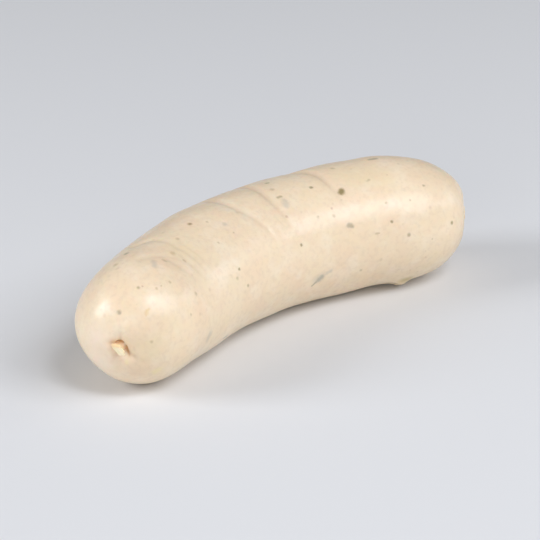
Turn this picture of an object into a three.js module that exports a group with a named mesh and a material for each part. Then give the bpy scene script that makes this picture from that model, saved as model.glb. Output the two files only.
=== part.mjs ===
import * as THREE from "three";

// A boiled white sausage in mm: a smooth filled casing, gathered at both ends, bent to an arc
// and lying on its side. It is shaped straight along X first and then bent.
// An angle round the body counts from the outer side of the arc (0) over the top (90).

const sausageLength = 116.6;
const middleRadius = 15.8;
const bendRadius = 92.75;
const flatDepth = 0.6;
const flatBlend = 0.35;

// Each end is a rounded cap whose middle is drawn into a dimple, with a stub of twisted casing
// standing in it. Pleats run out from the stub: angle, reach, depth and width.
const dimpleDepth = 1.15;
const dimpleRadius = 2.9;
const nearEnd = {
  radius: 15.24,
  capLength: 19,
  capPower: 2.21,
  rings: 21,
  stub: { length: 1.7, rootRadius: 1, headRadius: 1.3, flatness: 0.5, twist: 30, gripAngle: 42 },
  pleats: [
    { angle: 96, reach: 5.2, depth: 0.36, width: 0.8 },
    { angle: 124, reach: 2.3, depth: 0.7, width: 0.7 },
    { angle: 190, reach: 2.7, depth: 0.6, width: 0.6 },
    { angle: 214, reach: 4.8, depth: 0.32, width: 0.6 },
    { angle: 243, reach: 4.2, depth: 0.2, width: 0.6 },
    { angle: 292, reach: 3.2, depth: 0.2, width: 0.6 },
    { angle: 336, reach: 3.6, depth: 0.18, width: 0.7 },
    { angle: 24, reach: 3.4, depth: 0.2, width: 0.6 },
  ],
};
const farEnd = {
  radius: 15.92,
  capLength: 24.1,
  capPower: 2.46,
  rings: 23,
  stub: { length: 1.5, rootRadius: 0.95, headRadius: 1.2, flatness: 0.3, twist: 50, gripAngle: 70 },
  pleats: [
    { angle: 12, reach: 4.6, depth: 0.3, width: 0.6 },
    { angle: 58, reach: 3.6, depth: 0.28, width: 0.55 },
    { angle: 108, reach: 5.2, depth: 0.38, width: 0.6 },
    { angle: 151, reach: 3.8, depth: 0.24, width: 0.6 },
    { angle: 204, reach: 4.4, depth: 0.32, width: 0.6 },
    { angle: 262, reach: 3.6, depth: 0.26, width: 0.6 },
    { angle: 318, reach: 4, depth: 0.26, width: 0.65 },
  ],
};
// A stub's rings from its cut face down: height as a share of its length, shares of the head's and
// the root's radius, and how far the ring is pressed into the flattened form
const stubRings = [
  { height: 1, head: 0, root: 0, pressed: 1 },
  { height: 1, head: 0.55, root: 0, pressed: 1 },
  { height: 0.92, head: 0.95, root: 0, pressed: 1 },
  { height: 0.68, head: 1, root: 0, pressed: 1 },
  { height: 0.44, head: 0, root: 1, pressed: 0.8 },
  { height: 0.2, head: 0, root: 1, pressed: 0.45 },
];
// The cap starts at this multiple of the stub's root radius
const footFlare = 1.35;
// A shallow hollow beside the near stub, measured outward and up from the axis
const endHollow = { outward: -4.6, up: 0.6, radius: 3.6, depth: 0.4 };

// Soft unevenness of the filling: place along the body, angle, length, spread in degrees, height
const swells = [
  { at: -49, angle: 4, length: 5, spread: 32, height: 0.42 },
  { at: -41, angle: 35, length: 6, spread: 25, height: -0.26 },
  { at: -16.5, angle: 60, length: 6, spread: 40, height: 0.36 },
  { at: 8, angle: 70, length: 5, spread: 35, height: 0.08 },
  { at: 16.5, angle: 65, length: 4.5, spread: 35, height: -0.16 },
  { at: 26, angle: 65, length: 4.5, spread: 35, height: 0.12 },
  { at: 36, angle: 65, length: 4, spread: 35, height: 0.2 },
  { at: 45, angle: 75, length: 5, spread: 40, height: -0.12 },
  { at: 54, angle: 60, length: 3.5, spread: 26, height: -0.24 },
  { at: 57, angle: 85, length: 3, spread: 36, height: 0.38 },
  { at: 50, angle: 235, length: 5, spread: 30, height: 0.22 },
  { at: 32.6, angle: 246, length: 4.5, spread: 25, height: -0.32 },
  { at: 21, angle: 240, length: 6, spread: 30, height: 0.26 },
  { at: 4, angle: 242, length: 4, spread: 28, height: -0.14 },
  { at: -27, angle: 215, length: 6.5, spread: 30, height: 0.48 },
  { at: -43, angle: 225, length: 7, spread: 28, height: -0.55 },
  { at: -53, angle: 308, length: 4.5, spread: 42, height: -0.28 },
];

// Creases across the top where the casing has drawn in: they lean by so many mm a degree
const creases = [
  { at: -32.9, lean: 0.05, angle: 90, spread: 40, depth: 0.3, width: 1.3 },
  { at: -36.4, lean: 0.18, angle: 112, spread: 26, depth: 0.2, width: 1.2 },
  { at: -7.6, lean: 0.03, angle: 106, spread: 52, depth: 0.36, width: 1.3 },
  { at: 1.6, lean: -0.02, angle: 98, spread: 48, depth: 0.46, width: 1.3 },
  { at: 18.9, lean: 0.01, angle: 92, spread: 44, depth: 0.48, width: 1.3 },
  { at: 42.6, lean: 0.3, angle: 158, spread: 10, depth: 0.1, width: 1.2 },
];

// Swells and creases fade out towards an end's middle, between these distances from the axis
const reliefFade = { none: 1.5, full: 6 };

// A little fold of casing low on the inner side
const fold = { at: 39.5, angle: 238, length: 2.1, spread: 8, height: 0.98 };

// Fineness of the surface
const sides = 48;
const bodyRings = 58;
const endRingEase = 1.35;

const nearRoot = -sausageLength / 2 + nearEnd.capLength;
const farRoot = sausageLength / 2 - farEnd.capLength;

const radians = THREE.MathUtils.degToRad;
const bell = (x) => Math.exp(-x * x);

function turnBetween(angle, from) {
  return THREE.MathUtils.euclideanModulo(angle - from + 180, 360) - 180;
}

// Radius of the filled body before the caps round it off
function bodyRadius(along) {
  const nearShare = THREE.MathUtils.smoothstep(along, nearRoot, 0);
  const farShare = THREE.MathUtils.smoothstep(along, 0, farRoot);
  const thickening = (middleRadius - nearEnd.radius) * nearShare;
  return nearEnd.radius + thickening + (farEnd.radius - middleRadius) * farShare;
}

// One end from the stub's tip to the cap's root: how far each ring lies out from the root,
// its radius, and how much of the stub's pressed form it has
function endStations(end) {
  const { length, rootRadius, headRadius } = end.stub;
  const floor = end.capLength - dimpleDepth;
  const stations = stubRings.map((ring) => ({
    out: floor + length * ring.height,
    radius: headRadius * ring.head + rootRadius * ring.root,
    pressed: ring.pressed,
  }));
  const startTurn = Math.asin(((rootRadius * footFlare) / end.radius) ** (end.capPower / 2));
  for (let i = 0; i < end.rings; i += 1) {
    const turn = startTurn + (Math.PI / 2 - startTurn) * (i / end.rings) ** endRingEase;
    const radius = end.radius * Math.sin(turn) ** (2 / end.capPower);
    const dome = end.capLength * Math.cos(turn) ** (2 / end.capPower);
    stations.push({ out: dome - dimpleDepth * bell(radius / dimpleRadius), radius, pressed: 0 });
  }
  return stations.map((station) => ({ ...station, end }));
}

// The whole outline from the near stub to the far stub
function bodyStations() {
  const stations = endStations(nearEnd);
  stations.forEach((station) => {
    station.along = nearRoot - station.out;
  });
  for (let i = 0; i <= bodyRings; i += 1) {
    const along = THREE.MathUtils.lerp(nearRoot, farRoot, i / bodyRings);
    stations.push({ along, radius: bodyRadius(along), pressed: 0 });
  }
  for (const station of endStations(farEnd).reverse()) {
    stations.push({ ...station, along: farRoot + station.out });
  }
  return stations;
}

// The outline's outward normal at each station: x along the body, y away from it
function addNormals(stations) {
  stations.forEach((station, i) => {
    const before = stations[Math.max(i - 1, 0)];
    const after = stations[Math.min(i + 1, stations.length - 1)];
    const normal = new THREE.Vector2(before.radius - after.radius, after.along - before.along);
    station.normal = normal.normalize();
  });
}

function sideRelief(along, angle) {
  let height = 0;
  for (const s of [...swells, fold]) {
    height += s.height * bell((along - s.at) / s.length) * bell(turnBetween(angle, s.angle) / s.spread);
  }
  for (const c of creases) {
    const turn = turnBetween(angle, c.angle);
    const line = c.at + c.lean * turn;
    height -= c.depth * bell((along - line) / c.width) * bell((turn / c.spread) ** 2);
  }
  return height;
}

function endRelief(end, radius, angle) {
  let height = 0;
  for (const pleat of end.pleats) {
    const turn = radians(turnBetween(angle, pleat.angle));
    if (Math.cos(turn) > 0) {
      const aside = radius * Math.sin(turn);
      height -= pleat.depth * bell(aside / pleat.width) * bell(radius / pleat.reach);
    }
  }
  if (end === nearEnd) {
    const outward = radius * Math.cos(radians(angle)) - endHollow.outward;
    const up = radius * Math.sin(radians(angle)) - endHollow.up;
    height -= endHollow.depth * bell(Math.hypot(outward, up) / endHollow.radius);
  }
  return height;
}

// The stub's round section pressed flat and turned, as an offset outward and up
function stubSection(station, angle) {
  const { flatness, twist, gripAngle } = station.end.stub;
  const turned = radians(gripAngle + twist * (1 - station.pressed));
  const flat = flatness * station.pressed;
  const across = station.radius * Math.cos(radians(angle) - turned) * (1 + flat);
  const thick = station.radius * Math.sin(radians(angle) - turned) * (1 - flat);
  return {
    along: station.along,
    outward: across * Math.cos(turned) - thick * Math.sin(turned),
    up: across * Math.sin(turned) + thick * Math.cos(turned),
  };
}

// The filled body's section with its relief, raised along the outline's normal
function bodySection(station, angle) {
  const fade = THREE.MathUtils.smoothstep(station.radius, reliefFade.none, reliefFade.full);
  const endHeight = station.end ? endRelief(station.end, station.radius, angle) : 0;
  const height = endHeight + fade * sideRelief(station.along, angle);
  const radius = station.radius + station.normal.y * height;
  return {
    along: station.along + station.normal.x * height,
    outward: radius * Math.cos(radians(angle)),
    up: radius * Math.sin(radians(angle)),
  };
}

// Height above the table, eased to a small flat where the body's own weight presses it
function settle(height) {
  if (height > flatBlend) {
    return height;
  }
  return height < -flatBlend ? 0 : (height + flatBlend) ** 2 / (4 * flatBlend);
}

function shapeSausage() {
  const stations = bodyStations();
  addNormals(stations);
  const outline = stations.map((station) => new THREE.Vector2(station.radius, station.along));
  const geometry = new THREE.LatheGeometry(outline, sides);
  const position = geometry.getAttribute("position");
  for (let i = 0; i < position.count; i += 1) {
    const station = stations[i % stations.length];
    const angle = 90 + (360 * Math.floor(i / stations.length)) / sides;
    const section = station.pressed > 0 ? stubSection(station, angle) : bodySection(station, angle);
    const swing = bendRadius + section.outward;
    const bend = section.along / bendRadius;
    const axisHeight = bodyRadius(THREE.MathUtils.clamp(station.along, nearRoot, farRoot)) - flatDepth;
    position.setXYZ(i, swing * Math.sin(bend), swing * Math.cos(bend), settle(axisHeight + section.up));
  }
  geometry.computeVertexNormals();
  geometry.computeBoundingBox();
  const middle = geometry.boundingBox.getCenter(new THREE.Vector3());
  geometry.translate(-middle.x, -middle.y, -geometry.boundingBox.min.z);
  return geometry;
}

const casing = new THREE.MeshStandardMaterial({ color: 0xf0ddc2, roughness: 0.42, metalness: 0 });

const sausage = new THREE.Mesh(shapeSausage(), casing);
sausage.name = "sausage";

const part = new THREE.Group();
part.name = "whiteSausage";
part.add(sausage);

export default part;
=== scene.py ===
import math

import bpy
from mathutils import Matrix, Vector


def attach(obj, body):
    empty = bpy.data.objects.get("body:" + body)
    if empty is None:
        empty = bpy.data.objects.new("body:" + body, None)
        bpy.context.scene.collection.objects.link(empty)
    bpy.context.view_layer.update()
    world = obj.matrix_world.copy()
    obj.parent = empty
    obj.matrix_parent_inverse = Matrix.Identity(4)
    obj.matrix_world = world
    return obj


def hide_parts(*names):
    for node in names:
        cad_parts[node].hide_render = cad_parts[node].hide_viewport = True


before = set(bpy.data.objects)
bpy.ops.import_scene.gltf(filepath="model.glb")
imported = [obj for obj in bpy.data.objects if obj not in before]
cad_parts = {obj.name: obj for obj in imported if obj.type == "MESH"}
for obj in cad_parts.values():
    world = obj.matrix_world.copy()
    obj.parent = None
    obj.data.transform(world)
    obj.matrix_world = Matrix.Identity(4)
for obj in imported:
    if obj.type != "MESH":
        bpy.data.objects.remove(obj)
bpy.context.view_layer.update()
print("frame loaded")

# One boiled white sausage, bent to an arc and lying on its side. It is shaped straight along X and
# then bent. Angles count round it from the outer side of the bend, over the top. Metres throughout.
sausage = {
    "length": 0.1166,
    "middleRadius": 0.0158,
    "bendRadius": 0.09275,
    "flatDepth": 0.0006,       # how far the underside is pressed in
    "flatBlend": 0.00035,      # how softly that strip runs into the round
    "dimpleDepth": 0.00115,    # the hollow round each stub
    "dimpleRadius": 0.0029,
    "sides": 200,
    "bodyRings": 230,
    "capRings": 66,
    "capRingEase": 1.35,       # above 1 the rings of the caps lie closer near the stubs
    "reliefNone": 0.0015,      # creases and swells fade out between these distances from the axis
    "reliefFull": 0.006,
    "lumps": [(0.013, 0.00022), (0.0045, 0.0001)],    # faint unevenness of the casing: size and height
    # soft unevenness of the filling: place, angle, length, spread in degrees, height
    "swells": [
        (-0.0490, 4, 0.0050, 32, 0.00042),
        (-0.0410, 35, 0.0060, 25, -0.00026),
        (-0.0165, 60, 0.0060, 40, 0.00036),
        (0.0080, 70, 0.0050, 35, 0.00008),
        (0.0165, 65, 0.0045, 35, -0.00016),
        (0.0260, 65, 0.0045, 35, 0.00012),
        (0.0360, 65, 0.0040, 35, 0.00020),
        (0.0450, 75, 0.0050, 40, -0.00012),
        (0.0540, 60, 0.0035, 26, -0.00024),
        (0.0570, 85, 0.0030, 36, 0.00038),
        (0.0500, 235, 0.0050, 30, 0.00022),
        (0.0326, 246, 0.0045, 25, -0.00032),
        (0.0210, 240, 0.0060, 30, 0.00026),
        (0.0040, 242, 0.0040, 28, -0.00014),
        (-0.0270, 215, 0.0065, 30, 0.00048),
        (-0.0430, 225, 0.0070, 28, -0.00055),
        (-0.0530, 308, 0.0045, 42, -0.00028),
    ],
    "fold": (0.0395, 238, 0.0021, 8, 0.00098),
    # shallow hollows beside the near stub: outward and up from the axis, radius, depth, below 0 a rise
    "endHollows": [(-0.0046, 0.0006, 0.0036, 0.0004), (0.0014, -0.0012, 0.0016, -0.0007),
                   (0.0030, 0.0012, 0.0024, -0.0004), (-0.0026, -0.0011, 0.0016, 0.00022)],
}

# Creases where the casing has drawn in: depth, and the places and angles that each runs through
creases = [
    {"depth": 0.00034, "points": [(-0.0360, 62), (-0.0343, 71), (-0.0321, 79), (-0.0319, 98),
                                  (-0.0315, 124)]},
    {"depth": 0.00028, "points": [(-0.0436, 86), (-0.0408, 94), (-0.0371, 107), (-0.0354, 120),
                                  (-0.0334, 140)]},
    {"depth": 0.00020, "points": [(-0.0385, 103), (-0.0385, 118), (-0.0379, 131), (-0.0361, 146)]},
    {"depth": 0.00024, "points": [(-0.0343, 108), (-0.0344, 121), (-0.0343, 136), (-0.0334, 154)]},
    {"depth": 0.00018, "points": [(-0.0296, 96), (-0.0303, 112), (-0.0299, 127), (-0.0292, 142)]},
    {"depth": 0.00018, "points": [(-0.0327, 100), (-0.0321, 115), (-0.0322, 130), (-0.0322, 150)]},
    {"depth": 0.00048, "points": [(-0.0085, 58), (-0.0087, 86), (-0.0082, 106), (-0.0052, 129),
                                  (-0.0039, 154)]},
    {"depth": 0.00050, "points": [(0.0023, 56), (0.0023, 86), (0.0017, 106), (0.0019, 120),
                                  (0.0026, 140)]},
    {"depth": 0.00056, "points": [(0.0152, 58), (0.0176, 76), (0.0190, 90), (0.0194, 104), (0.0201, 120),
                                  (0.0214, 142)]},
    {"depth": 0.00010, "points": [(0.0380, 155), (0.0426, 158), (0.0470, 161)]},
    {"depth": 0.00016, "points": [(-0.0205, -38), (-0.0212, -10), (-0.0196, 22)]},
    {"depth": 0.00013, "points": [(0.0290, -30), (0.0276, 4), (0.0284, 34)]},
]
# The casing slopes gently down to a crease from the near side and steeply up again beyond it
creaseShape = {
    "slope": 0.0013,
    "rounding": 0.0002,
    "lip": 0.0010,
    "start": 0.2,              # shares of its length over which a crease sets in and fades out
    "fade": 0.65,
    "reachBefore": 0.0052,     # no crease is felt farther away than this, along the sausage
    "reachBeyond": 0.0030,
    "tint": 0.0008,            # how wide its line of painted shade is, and how far it is shifted, in such widths
    "shadeShift": 0.3,
    "shadeDepth": 0.0004,       # a crease this deep gets its painted shade in full
}

# What both stubs of casing share. Steps and heights are shares of the stub's head and length.
stubShape = {
    "crown": 0.975,            # height at the middle of the cut face
    "crownSteps": (0.15, 0.3, 0.45, 0.6, 0.75, 0.88),
    "sideSteps": (0.97, 0.92, 0.85, 0.78, 0.7, 0.62, 0.54, 0.46, 0.38, 0.3, 0.22, 0.14, 0.07),
    "swellFrom": 0.35,         # between these heights it widens from root to head
    "swellTo": 0.7,
    "foot": 1.35,              # the cap starts this much wider than the root
    "pressFrom": -0.2,         # between these heights it is pinched flat
    "pressTo": 0.7,
    "lean": 1.4,               # how far its puckers turn on the way up, in radians
    "puckers": (5, 0.09),      # how many and how high
    "finePuckers": (9, 0.05),
    "dish": 0.00016,           # the near cut face is hollow, the far one domed
    "dishFrom": 0.9,
    "dishRadius": 0.0004,
    "tintFrom": 0.1,           # between these heights it takes its own colour
    "tintTo": 0.6,
}

# The two gathered ends. Pleats run out from the stub of casing: angle, reach, depth, width.
nearEnd = {
    "radius": 0.01524,
    "capLength": 0.0190,
    "capPower": 2.21,
    "stub": {
        "length": 0.0017,
        "root": 0.0010,
        "head": 0.0013,
        "flatness": 0.42,
        "twist": 30,           # how far it turns on the way up, in degrees
        "grip": 42,            # the way that its flat sides run
        "wedge": 0.3,          # how much thinner it is towards the side where it is gripped
        "limit": 0.00132,      # what is slimmer than this is stub, what is wider is body
    },
    "pleats": [
        (96, 0.0052, 0.00036, 0.0008),
        (214, 0.0048, 0.00032, 0.0006),
        (243, 0.0042, 0.00020, 0.0006),
        (292, 0.0032, 0.00020, 0.0006),
        (336, 0.0036, 0.00018, 0.0007),
        (24, 0.0034, 0.00020, 0.0006),
    ],
    # a slit that hugs the stub's inner side, outward and up from the axis, with a strand across it
    "slit": [(0.0012, 0.0012), (0.0005, 0.0013), (-0.0005, 0.00125), (-0.0012, 0.0006),
             (-0.00145, -0.00045), (-0.0018, -0.00145), (-0.0022, -0.0025)],
    "slitWidth": 0.0003,
    "slitDepth": 0.0007,
    "slitStart": 0.3,             # shares of its length over which it sets in and fades out
    "slitFade": 0.45,
    "strand": (-0.0012, 0.0008),
    "strandSize": 0.00035,
    "strandFill": 0.75,
    "sore": (0.0014, 0.0012),     # a reddened place at the stub's upper end
    "soreSize": 0.0009,
    "toastTurn": 60,              # the side on which the stub is a deeper yellow
    "toastFrom": 0.0001,
    "toastTo": 0.0012,
}
farEnd = {
    "radius": 0.01592,
    "capLength": 0.0241,
    "capPower": 2.46,
    "stub": {
        "length": 0.0015,
        "root": 0.00095,
        "head": 0.0012,
        "flatness": 0.3,
        "twist": 50,
        "grip": 70,
        "wedge": 0,
        "limit": 0.00127,
    },
    "pleats": [
        (12, 0.0046, 0.00030, 0.0006),
        (58, 0.0036, 0.00028, 0.00055),
        (108, 0.0052, 0.00038, 0.0006),
        (151, 0.0038, 0.00024, 0.0006),
        (204, 0.0044, 0.00032, 0.0006),
        (262, 0.0036, 0.00026, 0.0006),
        (318, 0.0040, 0.00026, 0.00065),
    ],
}
nearRoot = -sausage["length"] / 2 + nearEnd["capLength"]
farRoot = sausage["length"] / 2 - farEnd["capLength"]


def bell(x):
    return math.exp(-x * x)


def ease(low, high, x):
    share = min(max((x - low) / (high - low), 0), 1)
    return share * share * (3 - 2 * share)


def turnBetween(angle, start):
    return (angle - start + 180) % 360 - 180


def deselectAll():
    if bpy.context.object and bpy.context.object.mode != "OBJECT":
        bpy.ops.object.mode_set(mode="OBJECT")
    bpy.ops.object.select_all(action="DESELECT")


def bodyRadius(along):
    near = nearEnd["radius"] + (sausage["middleRadius"] - nearEnd["radius"]) * ease(nearRoot, 0, along)
    return near + (farEnd["radius"] - sausage["middleRadius"]) * ease(0, farRoot, along)


def endOutline(end):
    # from the middle of the stub's cut face to the cap's root: distance out from the root, and radius
    stub = end["stub"]
    floor = end["capLength"] - sausage["dimpleDepth"]
    crown = stubShape["crown"]
    points = [(floor + stub["length"] * crown, 0)]
    for share in stubShape["crownSteps"]:
        points.append((floor + stub["length"] * (crown + (1 - crown) * share), stub["head"] * share))
    for share in stubShape["sideSteps"]:
        swell = (stub["head"] - stub["root"]) * ease(stubShape["swellFrom"], stubShape["swellTo"], share)
        points.append((floor + stub["length"] * share, stub["root"] + swell))
    start = math.asin((stub["root"] * stubShape["foot"] / end["radius"]) ** (end["capPower"] / 2))
    rings = sausage["capRings"]
    for i in range(rings):
        turn = start + (math.pi / 2 - start) * (i / rings) ** sausage["capRingEase"]
        radius = end["radius"] * math.sin(turn) ** (2 / end["capPower"])
        dome = end["capLength"] * math.cos(turn) ** (2 / end["capPower"])
        points.append((dome - sausage["dimpleDepth"] * bell(radius / sausage["dimpleRadius"]), radius))
    return points


def sausageOutline():
    points = [(nearRoot - out, radius) for out, radius in endOutline(nearEnd)]
    for i in range(sausage["bodyRings"] + 1):
        along = nearRoot + (farRoot - nearRoot) * i / sausage["bodyRings"]
        points.append((along, bodyRadius(along)))
    points += [(farRoot + out, radius) for out, radius in reversed(endOutline(farEnd))]
    return points


# How the meshes are worked: the first plane's size, what is merged, and what isn't worth moving
working = {"seedSize": 0.001, "mergeWithin": 0.000001, "smallestMove": 1e-7}


def spinOutline(name, points, sides):
    # one corner drawn out along the outline, then spun round the X axis
    deselectAll()
    bpy.ops.mesh.primitive_plane_add(size=working["seedSize"], location=(0, 0, 0))
    piece = bpy.context.object
    piece.name = name
    bpy.ops.object.mode_set(mode="EDIT")
    bpy.ops.mesh.merge(type="CENTER")
    bpy.ops.transform.translate(value=(points[0][0], 0, points[0][1]))
    for here, there in zip(points, points[1:]):
        step = (there[0] - here[0], 0, there[1] - here[1])
        bpy.ops.mesh.extrude_region_move(TRANSFORM_OT_translate={"value": step})
    bpy.ops.mesh.select_all(action="SELECT")
    bpy.ops.mesh.spin(steps=sides, angle=2 * math.pi, center=(0, 0, 0), axis=(1, 0, 0))
    bpy.ops.mesh.select_all(action="SELECT")
    bpy.ops.mesh.remove_doubles(threshold=working["mergeWithin"])
    bpy.ops.mesh.normals_make_consistent(inside=False)
    bpy.ops.object.mode_set(mode="OBJECT")
    return piece


def applyModifier(piece, modifier):
    bpy.context.view_layer.objects.active = piece
    bpy.ops.object.modifier_apply(modifier=modifier.name)


def pushBy(piece, label, amountAt, direction):
    # moves each vertex by its own amount, through vertex groups and Displace modifiers
    amounts = [amountAt(vertex.co.copy()) for vertex in piece.data.vertices]
    for side in (1, -1):
        peak = max(side * amount for amount in amounts)
        if peak < working["smallestMove"]:
            continue
        group = piece.vertex_groups.new(name=label)
        groupName = group.name
        for index, amount in enumerate(amounts):
            if side * amount > 0:
                group.add([index], side * amount / peak, "REPLACE")
        push = piece.modifiers.new(label, "DISPLACE")
        push.vertex_group = groupName
        push.direction = direction
        push.strength = side * peak
        push.mid_level = 0
        applyModifier(piece, push)
        piece.vertex_groups.remove(piece.vertex_groups[groupName])


def placeOf(co):
    # along the straight sausage, away from its axis, and the angle round it
    return co.x, math.hypot(co.y, co.z), math.degrees(math.atan2(co.z, co.y))


def endOf(along):
    if along < nearRoot:
        return nearEnd
    return farEnd if along > farRoot else None


def unrolled(along, angle):
    # a place on the casing as if it were slit open and laid flat
    return Vector((along, math.radians(angle) * sausage["middleRadius"]))


def softened(points):
    # cuts a line's corners twice, so that it runs in a soft curve
    for _ in range(2):
        cut = [points[0]]
        for here, there in zip(points, points[1:]):
            cut += [here.lerp(there, 0.25), here.lerp(there, 0.75)]
        points = cut + [points[-1]]
    return points


for crease in creases:
    crease["line"] = softened([unrolled(along, angle) for along, angle in crease["points"]])
    crease["low"] = min(point.x for point in crease["line"]) - creaseShape["reachBefore"]
    crease["high"] = max(point.x for point in crease["line"]) + creaseShape["reachBeyond"]
slitLine = softened([Vector(point) for point in nearEnd["slit"]])


def nearestOnLine(line, place):
    # how far off the line a place is, below 0 on its left side, and how far along it from 0 to 1
    distance, progress = 1, 0
    for i, (here, there) in enumerate(zip(line, line[1:])):
        run = there - here
        share = min(max((place - here).dot(run) / run.length_squared, 0), 1)
        away = place - here - run * share
        if away.length < abs(distance):
            distance = math.copysign(away.length, away.cross(run))
            progress = (i + share) / (len(line) - 1)
    return distance, progress


def creaseAt(along, angle):
    # how deep the creases are here, and how much painted shade lies along the bottom of one, from 0 to 1
    depth = paintedShade = 0
    for crease in creases:
        if crease["low"] < along < crease["high"]:
            distance, progress = nearestOnLine(crease["line"], unrolled(along, angle))
            taper = ease(0, creaseShape["start"], progress) * ease(0, creaseShape["fade"], 1 - progress)
            rounding = creaseShape["rounding"]
            fall = math.exp((rounding - math.hypot(distance, rounding)) / creaseShape["slope"])
            if distance > 0:
                fall = bell(distance / creaseShape["lip"])
            depth += crease["depth"] * taper * fall
            darkness = bell(distance / creaseShape["tint"] - creaseShape["shadeShift"])
            paintedShade = max(paintedShade, crease["depth"] / creaseShape["shadeDepth"] * taper * darkness)
    return depth, min(paintedShade, 1)


def pleatDepth(end, radius, angle):
    depth = 0
    for pleatAngle, reach, deep, width in end["pleats"]:
        turn = math.radians(turnBetween(angle, pleatAngle))
        if math.cos(turn) > 0:
            depth += deep * bell(radius * math.sin(turn) / width) * bell(radius / reach)
    return depth


def slitDepth(co):
    place = Vector((co.y, co.z))
    distance, progress = nearestOnLine(slitLine, place)
    taper = ease(0, nearEnd["slitStart"], progress) * ease(0, nearEnd["slitFade"], 1 - progress)
    strand = bell((place - Vector(nearEnd["strand"])).length / nearEnd["strandSize"])
    opening = 1 - nearEnd["strandFill"] * strand
    return nearEnd["slitDepth"] * taper * bell(distance / nearEnd["slitWidth"]) * opening


def reliefAt(co):
    along, radius, angle = placeOf(co)
    end = endOf(along)
    if end and radius < end["stub"]["limit"]:
        return 0
    height = -creaseAt(along, angle)[0]
    for at, swellAngle, length, spread, high in sausage["swells"] + [sausage["fold"]]:
        height += high * bell((along - at) / length) * bell(turnBetween(angle, swellAngle) / spread)
    height *= ease(sausage["reliefNone"], sausage["reliefFull"], radius)
    if end:
        height -= pleatDepth(end, radius, angle)
    if end is nearEnd:
        height -= slitDepth(co)
        for outward, up, reach, deep in sausage["endHollows"]:
            height -= deep * bell(math.hypot(co.y - outward, co.z - up) / reach)
    return height


def stubPart(co):
    # the end whose stub this place belongs to, and how far up the stub it is
    along, radius, angle = placeOf(co)
    end = endOf(along)
    if end is None or radius > end["stub"]["limit"]:
        return None, 0
    root = nearRoot if end is nearEnd else farRoot
    floor = end["capLength"] - sausage["dimpleDepth"]
    return end, (abs(along - root) - floor) / end["stub"]["length"]


def pressedPlace(co):
    # where a place on the round stub comes to lie once it is pinched flat, twisted and puckered
    end, share = stubPart(co)
    if end is None:
        return co
    along, radius, angle = placeOf(co)
    stub = end["stub"]
    pressed = ease(stubShape["pressFrom"], stubShape["pressTo"], share)
    turned = math.radians(stub["grip"] + stub["twist"] * (1 - pressed))
    strand = math.radians(angle) + stubShape["lean"] * share
    count, high = stubShape["puckers"]
    fineCount, fineHigh = stubShape["finePuckers"]
    pucker = high * math.cos(count * strand) + fineHigh * math.cos(fineCount * strand + 1)
    wide = radius * (1 + pressed * pucker)
    flat = stub["flatness"] * pressed
    across = wide * math.cos(math.radians(angle) - turned) * (1 + flat)
    thick = wide * math.sin(math.radians(angle) - turned) * (1 - flat)
    thick *= 1 - stub["wedge"] * pressed * across / (stub["head"] * (1 + flat))
    outward = across * math.cos(turned) - thick * math.sin(turned)
    up = across * math.sin(turned) + thick * math.cos(turned)
    dish = stubShape["dish"] * ease(stubShape["dishFrom"], 1, share)
    dish *= (1 - bell(thick / stubShape["dishRadius"])) * (1 if end is nearEnd else -1)
    return Vector((along + dish, outward, up))


def pressStubs(piece):
    # all moves are worked out from the round stub, so before the first of them is made
    moves = [pressedPlace(vertex.co) - vertex.co for vertex in piece.data.vertices]
    inward = iter([move.x for move in moves])
    outward = iter([move.y for move in moves])
    up = iter([move.z for move in moves])
    pushBy(piece, "pressIn", lambda co: next(inward), "X")
    pushBy(piece, "pressOut", lambda co: next(outward), "Y")
    pushBy(piece, "pressUp", lambda co: next(up), "Z")


def addLumps(piece):
    for size, height in sausage["lumps"]:
        clouds = bpy.data.textures.new("casingLumps", "CLOUDS")
        clouds.noise_scale = size
        clouds.noise_depth = 1
        lumps = piece.modifiers.new("lumps", "DISPLACE")
        lumps.texture = clouds
        lumps.strength = height
        applyModifier(piece, lumps)


def axisHeight(along):
    # lower where the sausage is slimmer, so that its underside runs level on the table
    return bodyRadius(min(max(along, nearRoot), farRoot)) - sausage["flatDepth"]


def settled(height):
    # what would lie below the table is pressed up to it, and runs softly into the round
    blend = sausage["flatBlend"]
    if height > blend:
        return height
    return 0 if height < -blend else (height + blend) ** 2 / (4 * blend)


def bendPiece(piece):
    bend = piece.modifiers.new("bend", "SIMPLE_DEFORM")
    bend.deform_method = "BEND"
    bend.deform_axis = "Z"
    bend.angle = -piece.dimensions.x / sausage["bendRadius"]
    applyModifier(piece, bend)


# Shares from 0 to 1 that the material reads from the mesh
def stubShare(co):
    end, share = stubPart(co)
    return ease(stubShape["tintFrom"], stubShape["tintTo"], share) if end else 0


# Dried tan round each stub, and painted shade in its pleats and slit: how strongly, and how far out from
# each end's middle
tanAndShade = {
    "reach": 0.012,
    "nearRim": (0.05, 0.0026),
    "farRim": (0.4, 0.0022),
    "pleatReach": 0.0028,
    "pleatDepth": 0.0006,      # a pleat this deep gets painted shade in full
    "pleatPower": 2,
    # the slit beside the near stub is darkened by its depth: painted shade
    "slit": 0.9,
    "slitPower": 1.2,
    "sore": 0.5,
}


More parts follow.
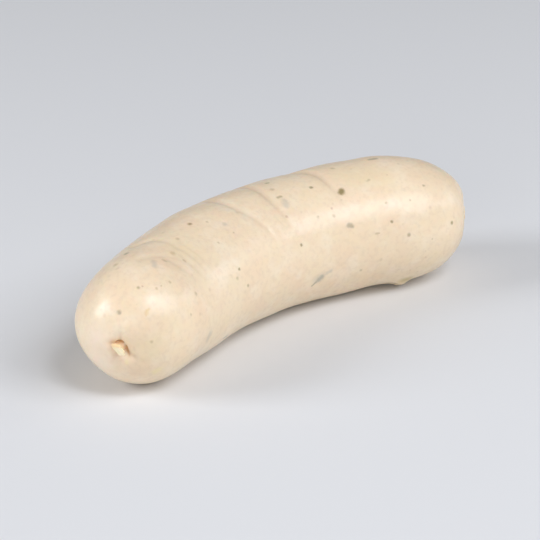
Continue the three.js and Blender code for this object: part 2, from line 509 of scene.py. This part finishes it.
def tanAndShadeShare(co):
    end = endOf(co.x)
    along, radius, angle = placeOf(co)
    if end is None or radius > tanAndShade["reach"]:
        return 0
    # pleats darkened by their depth: painted shade
    pleats = (pleatDepth(end, radius, angle) / tanAndShade["pleatDepth"]) ** tanAndShade["pleatPower"]
    pleats *= bell(radius / tanAndShade["pleatReach"])
    strength, reach = tanAndShade["nearRim"] if end is nearEnd else tanAndShade["farRim"]
    share = strength * bell(radius / reach) + pleats
    if end is nearEnd:
        sore = bell((Vector((co.y, co.z)) - Vector(nearEnd["sore"])).length / nearEnd["soreSize"])
        # the slit darkened by its depth: painted shade
        slit = (slitDepth(co) / nearEnd["slitDepth"]) ** tanAndShade["slitPower"]
        share += tanAndShade["slit"] * slit + tanAndShade["sore"] * sore
    return min(1, share)


def toastShare(co):
    # the upper part of the near stub's cut face, a deeper yellow
    if stubPart(co)[0] is not nearEnd:
        return 0
    turn = math.radians(nearEnd["toastTurn"])
    return ease(nearEnd["toastFrom"], nearEnd["toastTo"], co.y * math.cos(turn) + co.z * math.sin(turn))


# painted shade along the bottom of the creases
def creaseShadeShare(co):
    along, radius, angle = placeOf(co)
    return creaseAt(along, angle)[1]


# The outer side and the underside, where flecks are strewn rather than placed. They begin between
# these turns away from the middle of the shown side, and between these places along it.
hiddenSide = {"shownMiddle": 137, "turns": (82, 94), "places": (-0.052, -0.046)}


def hiddenShare(co):
    along, radius, angle = placeOf(co)
    turned = abs(turnBetween(angle, hiddenSide["shownMiddle"]))
    return ease(*hiddenSide["turns"], turned) * ease(*hiddenSide["places"], along)


def paintShare(piece, label, shareAt):
    shares = [shareAt(vertex.co) for vertex in piece.data.vertices]
    layer = piece.data.attributes.new(label, "FLOAT", "POINT")
    layer.data.foreach_set("value", shares)


def makeSausage():
    piece = spinOutline("whiteSausage", sausageOutline(), sausage["sides"])
    paintShare(piece, "stubShare", stubShare)
    paintShare(piece, "tanAndShadeShare", tanAndShadeShare)
    paintShare(piece, "toastShare", toastShare)
    paintShare(piece, "creaseShadeShare", creaseShadeShare)
    paintShare(piece, "hiddenShare", hiddenShare)
    pushBy(piece, "relief", reliefAt, "NORMAL")
    pressStubs(piece)
    addLumps(piece)
    pushBy(piece, "lift", lambda co: axisHeight(co.x), "Z")
    bendPiece(piece)
    pushBy(piece, "settle", lambda co: settled(co.z) - co.z, "Z")
    bpy.ops.object.shade_smooth()
    return piece


def centreInFrame(piece):
    low = [min(corner[i] for corner in piece.bound_box) for i in range(3)]
    high = [max(corner[i] for corner in piece.bound_box) for i in range(3)]
    shift = Vector((-(low[0] + high[0]) / 2, -(low[1] + high[1]) / 2, -low[2]))
    deselectAll()
    bpy.context.view_layer.objects.active = piece
    piece.select_set(True)
    bpy.ops.object.mode_set(mode="EDIT")
    bpy.ops.mesh.select_all(action="SELECT")
    bpy.ops.transform.translate(value=shift)
    bpy.ops.object.mode_set(mode="OBJECT")
    return shift


whiteSausage = makeSausage()
rowShift = centreInFrame(whiteSausage)
print("sausage shaped", len(whiteSausage.data.polygons), "faces, shift", tuple(rowShift))

# The boiled casing over its filling. Scales are how many times a pattern repeats in a metre, and
# patches are the noise at which one starts, the noise at which it is full, and how much it covers.
casing = {
    "cream": (0.903, 0.73, 0.505, 1),
    "blush": (0.895, 0.70, 0.482, 1),     # pinker patches of lean meat under the skin
    # a darker tone, for the random grain and for the painted shade along the creases
    "pale": (0.95, 0.805, 0.61, 1),       # whiter patches of fat
    "crease": (0.725, 0.56, 0.39, 1),
    "stub": (1.0, 0.83, 0.55, 1),
    "toast": (0.96, 0.67, 0.37, 1),
    # dried tan of the casing, also used for the painted shade in the pleats and the slit
    "driedTanAndShade": (0.67, 0.33, 0.09, 1),
    "blushScale": 125,
    "blushPatches": (0.42, 0.66, 0.9),
    "paleScale": 210,
    "palePatches": (0.46, 0.70, 0.5),
    "grainScale": 900,
    "grainPatches": (0.42, 0.75, 0.28),
    "creaseShadeCover": 0.55,
    "tanAndShadeCover": 0.95,
    "roughness": 0.5,
    "refraction": 1.4,
    "subsurface": 0.3,
    "subsurfaceRadius": (1.0, 0.55, 0.3),
    "subsurfaceScale": 0.0022,
    "coat": 0.5,
    "coatRoughness": 0.23,
    "shineScale": 260,         # uneven moisture on the casing
    "shineNoise": (0.3, 0.7),
    "shineSpread": 0.07,
    "bumpScale": 620,
    "bumpHeight": 0.00012,
    "bumpStrength": 0.45,
    "fleckHeight": 0.25,
    "raggedScale": 1150,       # the noise that tears the flecks' outlines
}

# Kinds of fleck and soft tint, among them painted highlight and painted shade: colour, how much of it
# covers the casing, how soft its edge is, and how torn its outline
fleckKinds = {
    # painted highlight: a pinkish-white patch
    "lilacHighlight": {"colour": (0.93, 0.77, 0.61, 1), "cover": 0.6, "edge": 0.95, "torn": 0.003},
    # painted shade: darker, yellower patches away from the highlights
    "sallowShade": {"colour": (0.85, 0.70, 0.44, 1), "cover": 0.5, "edge": 0.95, "torn": 0.003},
    "leaf": {"colour": (0.26, 0.19, 0.06, 1), "cover": 0.9, "edge": 0.6, "torn": 0.0008},
    "dark": {"colour": (0.29, 0.215, 0.08, 1), "cover": 0.75, "edge": 0.7, "torn": 0.0005},
    "brown": {"colour": (0.38, 0.28, 0.13, 1), "cover": 0.6, "edge": 0.8, "torn": 0.0005},
    "faint": {"colour": (0.54, 0.41, 0.22, 1), "cover": 0.55, "edge": 0.8, "torn": 0.0006},
    "moss": {"colour": (0.34, 0.295, 0.19, 1), "cover": 0.62, "edge": 0.7, "torn": 0.0007},
    "haze": {"colour": (0.38, 0.36, 0.32, 1), "cover": 0.32, "edge": 0.9, "torn": 0.0008},
    "sage": {"colour": (0.34, 0.35, 0.28, 1), "cover": 0.55, "edge": 0.8, "torn": 0.0008},
    "rust": {"colour": (0.52, 0.31, 0.18, 1), "cover": 0.5, "edge": 0.8, "torn": 0.0005},
    "straw": {"colour": (0.80, 0.57, 0.26, 1), "cover": 0.6, "edge": 0.9, "torn": 0.0012},
    # painted shade on the shaded side of the fold under the far end
    "oliveFoldShade": {"colour": (0.48, 0.38, 0.10, 1), "cover": 0.6, "edge": 0.9, "torn": 0.0010},
    "butter": {"colour": (0.90, 0.75, 0.43, 1), "cover": 0.7, "edge": 0.9, "torn": 0.0006},
}

# Flecks that stand out, and some painted highlight and painted shade: kind, place and angle, radius,
# and for a long one the place and angle of its other end
placedFlecks = [
    # painted highlight on the near dome's left side
    ("lilacHighlight", (-0.0575, 20), 0.0034, (-0.0562, 312)),
    # painted shade, in the hollow right of the near stub and on the top beyond the highlight
    ("sallowShade", (-0.0567, 182), 0.0030, None),
    ("sallowShade", (-0.0318, 112), 0.0038, None),
    ("sallowShade", (0.0266, 104), 0.0034, (0.0340, 112)),
    ("leaf", (0.0220, 120), 0.00074, (0.0216, 121)),
    ("dark", (0.0145, 108), 0.00038, (0.0148, 108)),
    ("dark", (0.0038, 157), 0.00034, None),
    ("dark", (-0.0204, 153), 0.00034, None),
    ("dark", (-0.0219, 92), 0.00050, None),
    ("dark", (0.0338, 156), 0.00036, None),
    ("dark", (0.0529, 166), 0.00040, None),
    ("brown", (0.0042, 108), 0.00036, (0.0053, 108)),
    ("brown", (0.0064, 82), 0.00044, (0.0067, 82)),
    ("brown", (-0.0187, 170), 0.00034, None),
    ("brown", (-0.0510, 102), 0.00036, None),
    ("brown", (0.0387, 170), 0.00040, None),
    ("brown", (0.0454, 125), 0.00034, None),
    # painted shadow: a dark line along the underside of the fold
    ("brown", (0.0350, 234), 0.00040, (0.0396, 237)),
    ("faint", (-0.0492, 118), 0.00034, None),
    ("faint", (-0.0454, 124), 0.00032, None),
    ("faint", (-0.0479, 120), 0.00022, None),
    ("faint", (-0.0216, 124), 0.00026, None),
    ("faint", (-0.0408, 147), 0.00040, None),
    ("faint", (-0.0354, 107), 0.00062, None),
    ("faint", (-0.0395, 106), 0.00040, (-0.0395, 108)),
    ("faint", (-0.0351, 118), 0.00028, (-0.0351, 120)),
    ("faint", (-0.0152, 123), 0.00025, None),
    ("faint", (-0.0292, 98), 0.00045, None),
    ("faint", (-0.0446, 68), 0.00060, None),
    ("faint", (0.0285, 164), 0.00024, (0.0294, 164)),
    ("faint", (0.0462, 178), 0.00024, None),
    ("faint", (-0.0184, 101), 0.00032, None),
    ("faint", (-0.0223, 159), 0.00040, None),
    ("faint", (0.0051, 96), 0.00050, None),
    ("faint", (0.0240, 88), 0.00050, None),
    ("faint", (0.0307, 114), 0.00038, None),
    ("faint", (0.0403, 139), 0.00026, None),
    ("faint", (0.0331, 139), 0.00030, None),
    ("faint", (0.0167, 141), 0.00036, None),
    ("faint", (0.0118, 138), 0.00038, None),
    ("faint", (0.0238, 197), 0.00034, None),
    ("faint", (-0.0564, 166), 0.00036, None),
    ("faint", (-0.0462, 159), 0.00030, None),
    ("moss", (-0.0560, 88), 0.00052, None),
    ("moss", (-0.0395, 69), 0.00060, None),
    ("moss", (0.0204, 152), 0.00056, (0.0213, 153)),
    ("moss", (0.0345, 83), 0.00055, (0.0360, 83)),
    ("moss", (0.0074, 200), 0.00026, (0.0086, 197)),
    ("haze", (-0.0154, 112), 0.00060, None),
    ("haze", (0.0051, 114), 0.00075, (0.0046, 119)),
    ("haze", (-0.0417, 100), 0.00060, (-0.0434, 104)),
    ("haze", (0.0111, 191), 0.00045, (0.0134, 189)),
    ("haze", (0.0088, 195), 0.0010, (0.0104, 192)),
    ("haze", (-0.0378, 191), 0.00085, (-0.0384, 194)),
    ("sage", (0.0094, 195), 0.00058, (0.0103, 193)),
    ("sage", (-0.0271, 212), 0.00042, (-0.0256, 213)),
    ("rust", (-0.0503, 105), 0.00022, None),
    ("rust", (0.0169, 134), 0.00030, None),
    ("rust", (0.0028, 129), 0.00032, None),
    ("straw", (-0.0540, 124), 0.00036, (-0.0549, 126)),
    # painted shade on the side of the fold
    ("oliveFoldShade", (0.0396, 229), 0.0012, (0.0408, 229)),
    ("butter", (-0.0582, 230), 0.00034, (-0.0578, 246)),
    ("butter", (-0.0544, 222), 0.0008, (-0.0543, 218)),
]

# Flecks strewn at random. Share of the cells hold one, and Size is its radius as a share of a cell.
strewnFlecks = {
    "torn": 0.0006,
    "specks": {"Scale": 340, "Share": 0.3, "Size": 0.11, "Edge": 0.9},
    "specksCover": 0.28,
    "larger": [
        ("dark", "faint", {"Scale": 300, "Share": 0.5, "Size": 0.11}),
        ("sage", "leaf", {"Scale": 190, "Share": 0.34, "Size": 0.115}),
    ],
    "largerCover": 0.8,
    "otherAbove": 0.62,        # the draw above which one is of the second kind
    "leastSize": 0.4,
    "sizeSpread": 0.9,
}


def addNode(tree, kind, values, **settings):
    # values are socket names or numbers, each with a constant or the output that feeds it
    node = tree.nodes.new(kind)
    for name, setting in settings.items():
        setattr(node, name, setting)
    for name, value in values.items():
        if isinstance(value, bpy.types.NodeSocket):
            tree.links.new(value, node.inputs[name])
        else:
            node.inputs[name].default_value = value
    return node


def mixColour(tree, share, lower, upper):
    return addNode(tree, "ShaderNodeMix", {0: share, 6: lower, 7: upper}, data_type="RGBA").outputs[2]


def mathNode(tree, operation, first, second=0.0):
    return addNode(tree, "ShaderNodeMath", {0: first, 1: second}, operation=operation).outputs[0]


def vectorNode(tree, operation, first, second, output="Vector"):
    node = addNode(tree, "ShaderNodeVectorMath", {0: first, 1: second}, operation=operation)
    return node.outputs[output]


def easedRange(tree, value, low, high, toLow=0.0, toHigh=1.0):
    values = {"Value": value, "From Min": low, "From Max": high, "To Min": toLow, "To Max": toHigh}
    return addNode(tree, "ShaderNodeMapRange", values, interpolation_type="SMOOTHSTEP").outputs[0]


def startGroup(name, inputs, outputs):
    group = bpy.data.node_groups.new(name, "ShaderNodeTree")
    for label, kind in inputs:
        group.interface.new_socket(name=label, in_out="INPUT", socket_type="NodeSocket" + kind)
    for label in outputs:
        group.interface.new_socket(name=label, in_out="OUTPUT", socket_type="NodeSocketFloat")
    return group, group.nodes.new("NodeGroupInput").outputs, group.nodes.new("NodeGroupOutput").inputs


def makeSoftMottle():
    # soft patches: 1 where the noise is above High, 0 where it is below Low
    inputs = [("Vector", "Vector"), ("Scale", "Float"), ("Low", "Float"), ("High", "Float")]
    group, given, result = startGroup("softMottle", inputs, ["Mask"])
    noise = addNode(group, "ShaderNodeTexNoise", {"Vector": given["Vector"], "Scale": given["Scale"]})
    mask = easedRange(group, noise.outputs[0], given["Low"], given["High"])
    group.links.new(mask, result["Mask"])
    return group


def makeStrewnFlecks():
    inputs = [("Vector", "Vector"), ("Scale", "Float"), ("Share", "Float"), ("Size", "Float"),
              ("Edge", "Float")]
    group, given, result = startGroup("strewnFlecks", inputs, ["Mask", "Tone"])
    cells = addNode(group, "ShaderNodeTexVoronoi", {"Vector": given["Vector"], "Scale": given["Scale"]})
    draw = addNode(group, "ShaderNodeSeparateColor", {"Color": cells.outputs["Color"]}).outputs
    held = mathNode(group, "LESS_THAN", draw["Red"], given["Share"])
    grown = mathNode(group, "MULTIPLY_ADD", draw["Green"], strewnFlecks["sizeSpread"])
    grown.node.inputs[2].default_value = strewnFlecks["leastSize"]
    radius = mathNode(group, "MULTIPLY", given["Size"], grown)
    softness = mathNode(group, "MULTIPLY", radius, given["Edge"])
    inner = mathNode(group, "SUBTRACT", radius, softness)
    outer = mathNode(group, "ADD", radius, softness)
    shape = easedRange(group, cells.outputs["Distance"], inner, outer, 1.0, 0.0)
    group.links.new(mathNode(group, "MULTIPLY", held, shape), result["Mask"])
    group.links.new(draw["Blue"], result["Tone"])
    return group


def makePlacedFleck():
    # one fleck round the stretch from Start to End
    inputs = [("Vector", "Vector"), ("Start", "Vector"), ("End", "Vector"), ("Radius", "Float"),
              ("Edge", "Float")]
    group, given, result = startGroup("placedFleck", inputs, ["Mask"])
    away = vectorNode(group, "SUBTRACT", given["Vector"], given["Start"])
    run = vectorNode(group, "SUBTRACT", given["End"], given["Start"])
    reached = vectorNode(group, "DOT_PRODUCT", away, run, "Value")
    whole = vectorNode(group, "DOT_PRODUCT", run, run, "Value")
    share = mathNode(group, "DIVIDE", reached, whole)
    progress = addNode(group, "ShaderNodeClamp", {"Value": share}).outputs[0]
    onStretch = addNode(group, "ShaderNodeVectorMath", {0: run, "Scale": progress}, operation="SCALE")
    distance = vectorNode(group, "DISTANCE", away, onStretch.outputs[0], "Value")
    softness = mathNode(group, "MULTIPLY", given["Radius"], given["Edge"])
    inner = mathNode(group, "SUBTRACT", given["Radius"], softness)
    outer = mathNode(group, "ADD", given["Radius"], softness)
    group.links.new(easedRange(group, distance, inner, outer, 1.0, 0.0), result["Mask"])
    return group


def placeGroup(tree, group, values):
    node = tree.nodes.new("ShaderNodeGroup")
    node.node_tree = group
    for name, value in values.items():
        if isinstance(value, bpy.types.NodeSocket):
            tree.links.new(value, node.inputs[name])
        else:
            node.inputs[name].default_value = value
    return node.outputs


def onCasing(along, angle):
    # the place on the finished sausage for a place along the straight one and an angle round it
    end = endOf(along)
    radius = bodyRadius(along)
    if end:
        root = nearRoot if end is nearEnd else farRoot
        share = min(abs(along - root) / end["capLength"], 1)
        radius = end["radius"] * (1 - share ** end["capPower"]) ** (1 / end["capPower"])
    swing = sausage["bendRadius"] + radius * math.cos(math.radians(angle))
    turn = along / sausage["bendRadius"]
    across = swing * math.cos(turn) - sausage["bendRadius"]
    up = axisHeight(along) + radius * math.sin(math.radians(angle))
    guess = Vector((swing * math.sin(turn), across, up)) + rowShift
    return whiteSausage.closest_point_on_mesh(guess)[1]


def makeCasingMaterial():
    material = bpy.data.materials.new("boiledCasing")
    material.use_nodes = True
    tree = material.node_tree
    surface = tree.nodes["Principled BSDF"]
    place = addNode(tree, "ShaderNodeTexCoord", {}).outputs["Object"]
    mottle = makeSoftMottle()
    strewn = makeStrewnFlecks()
    placed = makePlacedFleck()

    def patches(scale, low, high, cover):
        values = {"Vector": place, "Scale": scale, "Low": low, "High": high}
        return mathNode(tree, "MULTIPLY", placeGroup(tree, mottle, values)["Mask"], cover)

    def paintedShare(label, cover):
        share = addNode(tree, "ShaderNodeAttribute", {}, attribute_name=label).outputs["Fac"]
        return mathNode(tree, "MULTIPLY", share, cover)

    blush = patches(casing["blushScale"], *casing["blushPatches"])
    colour = mixColour(tree, blush, casing["cream"], casing["blush"])
    pale = patches(casing["paleScale"], *casing["palePatches"])
    colour = mixColour(tree, pale, colour, casing["pale"])
    grain = patches(casing["grainScale"], *casing["grainPatches"])
    colour = mixColour(tree, grain, colour, casing["crease"])
    # painted shade along the bottom of the creases
    paintedCreaseShade = paintedShare("creaseShadeShare", casing["creaseShadeCover"])
    colour = mixColour(tree, paintedCreaseShade, colour, casing["crease"])

    # a little noise on the place makes the flecks ragged
    values = {"Vector": place, "Scale": casing["raggedScale"], "Detail": 3}
    ragged = addNode(tree, "ShaderNodeTexNoise", values).outputs["Color"]
    centred = vectorNode(tree, "SUBTRACT", ragged, (0.5, 0.5, 0.5))

    def tornPlace(amount):
        scatter = addNode(tree, "ShaderNodeVectorMath", {0: centred, "Scale": amount}, operation="SCALE")
        return vectorNode(tree, "ADD", place, scatter.outputs[0])

    covered = 0.0
    for kindName, kind in fleckKinds.items():
        mask = 0.0
        torn = tornPlace(kind["torn"])
        for name, (along, angle), radius, other in placedFlecks:
            if name == kindName:
                start = onCasing(along, angle)
                stop = onCasing(*other) if other else start
                values = {"Vector": torn, "Start": start, "End": stop, "Radius": radius}
                fleck = placeGroup(tree, placed, {**values, "Edge": kind["edge"]})
                mask = mathNode(tree, "MAXIMUM", mask, fleck["Mask"])
        colour = mixColour(tree, mathNode(tree, "MULTIPLY", mask, kind["cover"]), colour, kind["colour"])
        covered = mathNode(tree, "MAXIMUM", covered, mask)

    # tiny faint specks everywhere, and larger flecks where none are placed
    torn = tornPlace(strewnFlecks["torn"])
    values = {"Vector": torn, **strewnFlecks["specks"]}
    specks = placeGroup(tree, strewn, values)
    tone = mixColour(tree, specks["Tone"], fleckKinds["faint"]["colour"], fleckKinds["rust"]["colour"])
    shown = mathNode(tree, "MULTIPLY", specks["Mask"], strewnFlecks["specksCover"])
    colour = mixColour(tree, shown, colour, tone)
    hidden = paintedShare("hiddenShare", 1.0)
    for name, otherName, spread in strewnFlecks["larger"]:
        values = {"Vector": torn, **spread, "Edge": fleckKinds[name]["edge"]}
        flecks = placeGroup(tree, strewn, values)
        tone = mathNode(tree, "GREATER_THAN", flecks["Tone"], strewnFlecks["otherAbove"])
        tint = mixColour(tree, tone, fleckKinds[name]["colour"], fleckKinds[otherName]["colour"])
        mask = mathNode(tree, "MULTIPLY", flecks["Mask"], hidden)
        shown = mathNode(tree, "MULTIPLY", mask, strewnFlecks["largerCover"])
        colour = mixColour(tree, shown, colour, tint)
        covered = mathNode(tree, "MAXIMUM", covered, mask)

    # dried tan round the ends, with painted shade in the pleats and the slit
    driedTanAndShade = paintedShare("tanAndShadeShare", casing["tanAndShadeCover"])
    colour = mixColour(tree, driedTanAndShade, colour, casing["driedTanAndShade"])
    stub = mixColour(tree, paintedShare("toastShare", 1.0), casing["stub"], casing["toast"])
    colour = mixColour(tree, paintedShare("stubShare", 1.0), colour, stub)
    tree.links.new(colour, surface.inputs["Base Color"])

    values = {"Vector": place, "Scale": casing["shineScale"], "Detail": 4}
    shine = addNode(tree, "ShaderNodeTexNoise", values).outputs[0]
    glossy = casing["roughness"] - casing["shineSpread"]
    dull = casing["roughness"] + casing["shineSpread"]
    roughness = easedRange(tree, shine, *casing["shineNoise"], glossy, dull)
    tree.links.new(roughness, surface.inputs["Roughness"])
    values = {"Vector": place, "Scale": casing["bumpScale"], "Detail": 4, "Roughness": 0.6}
    fine = addNode(tree, "ShaderNodeTexNoise", values).outputs[0]
    height = mathNode(tree, "ADD", fine, mathNode(tree, "MULTIPLY", covered, casing["fleckHeight"]))
    height = mathNode(tree, "ADD", height, shine)
    values = {"Height": height, "Distance": casing["bumpHeight"], "Strength": casing["bumpStrength"]}
    bump = addNode(tree, "ShaderNodeBump", values)
    tree.links.new(bump.outputs[0], surface.inputs["Normal"])
    surface.inputs["IOR"].default_value = casing["refraction"]
    surface.inputs["Subsurface Weight"].default_value = casing["subsurface"]
    surface.inputs["Subsurface Radius"].default_value = casing["subsurfaceRadius"]
    surface.inputs["Subsurface Scale"].default_value = casing["subsurfaceScale"]
    surface.inputs["Coat Weight"].default_value = casing["coat"]
    surface.inputs["Coat Roughness"].default_value = casing["coatRoughness"]
    return material


bpy.context.view_layer.update()
whiteSausage.data.materials.append(makeCasingMaterial())
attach(whiteSausage, "root")
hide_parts("sausage")
print("casing painted")

# The table, the studio and the camera
studio = {
    "floorSize": 6.0,
    "floorColour": (0.76, 0.76, 0.75, 1),
    "floorRoughness": 0.9,
    "worldColour": (1.0, 0.99, 0.98, 1),
    "worldStrength": 0.16,
    "lightColour": (0.895, 0.922, 1.0),
    "lightDistance": 1.1,
}
deselectAll()
bpy.ops.mesh.primitive_plane_add(size=studio["floorSize"], location=(0, 0, 0))
floor = bpy.context.object
floor.name = "floor"
floorMaterial = bpy.data.materials.new("paleTable")
floorMaterial.use_nodes = True
floorSurface = floorMaterial.node_tree.nodes["Principled BSDF"]
floorSurface.inputs["Base Color"].default_value = studio["floorColour"]
floorSurface.inputs["Roughness"].default_value = studio["floorRoughness"]
floor.data.materials.append(floorMaterial)

world = bpy.data.worlds.new("studio")
world.use_nodes = True
world.node_tree.nodes["Background"].inputs["Color"].default_value = studio["worldColour"]
world.node_tree.nodes["Background"].inputs["Strength"].default_value = studio["worldStrength"]
bpy.context.scene.world = world

# The lights: azimuth and elevation seen from the sausage, width and height, power
lights = [
    {"name": "softboxRight", "azimuth": 24, "elevation": 42, "size": (0.6, 0.5), "power": 5.35},
    {"name": "softboxSide", "azimuth": 60, "elevation": 18, "size": (0.35, 0.4), "power": 1.2},
    {"name": "softboxLeft", "azimuth": -120, "elevation": 28, "size": (0.42, 0.5), "power": 6.5},
    {"name": "softboxTop", "azimuth": -3, "elevation": 58, "size": (0.3, 0.3), "power": 3.3},
    {"name": "softboxFront", "azimuth": -54, "elevation": 18, "size": (0.9, 0.5), "power": 2.6},
]


def directionTo(azimuth, elevation):
    # azimuth 0 lies on the -Y side and turns towards +X
    a = math.radians(azimuth)
    e = math.radians(elevation)
    return Vector((math.sin(a) * math.cos(e), -math.cos(a) * math.cos(e), math.sin(e)))


for entry in lights:
    where = directionTo(entry["azimuth"], entry["elevation"])
    deselectAll()
    bpy.ops.object.light_add(type="AREA", location=where * studio["lightDistance"])
    lamp = bpy.context.object
    lamp.name = entry["name"]
    lamp.rotation_euler = where.to_track_quat("Z", "Y").to_euler()
    lamp.data.shape = "RECTANGLE"
    lamp.data.size = entry["size"][0]
    lamp.data.size_y = entry["size"][1]
    lamp.data.energy = entry["power"]
    lamp.data.color = studio["lightColour"]

view = {
    "azimuth": -41.0,
    "elevation": 26.0,
    "distance": 0.6,
    "target": (-0.00395, -0.0068, 0.0158),
    "focalPixels": 2524,       # taken from the photo, 540 pixels wide
    "framePixels": 540,
    "sensorWidth": 36,
    "clipStart": 0.01,
}
cameraBack = directionTo(view["azimuth"], view["elevation"])
deselectAll()
bpy.ops.object.camera_add(location=Vector(view["target"]) + cameraBack * view["distance"])
camera = bpy.context.object
camera.rotation_euler = cameraBack.to_track_quat("Z", "Y").to_euler()
camera.data.sensor_width = view["sensorWidth"]
camera.data.lens = view["focalPixels"] / view["framePixels"] * view["sensorWidth"]
camera.data.clip_start = view["clipStart"]
bpy.context.scene.camera = camera
bpy.context.scene.view_settings.view_transform = "Standard"
print("studio ready")
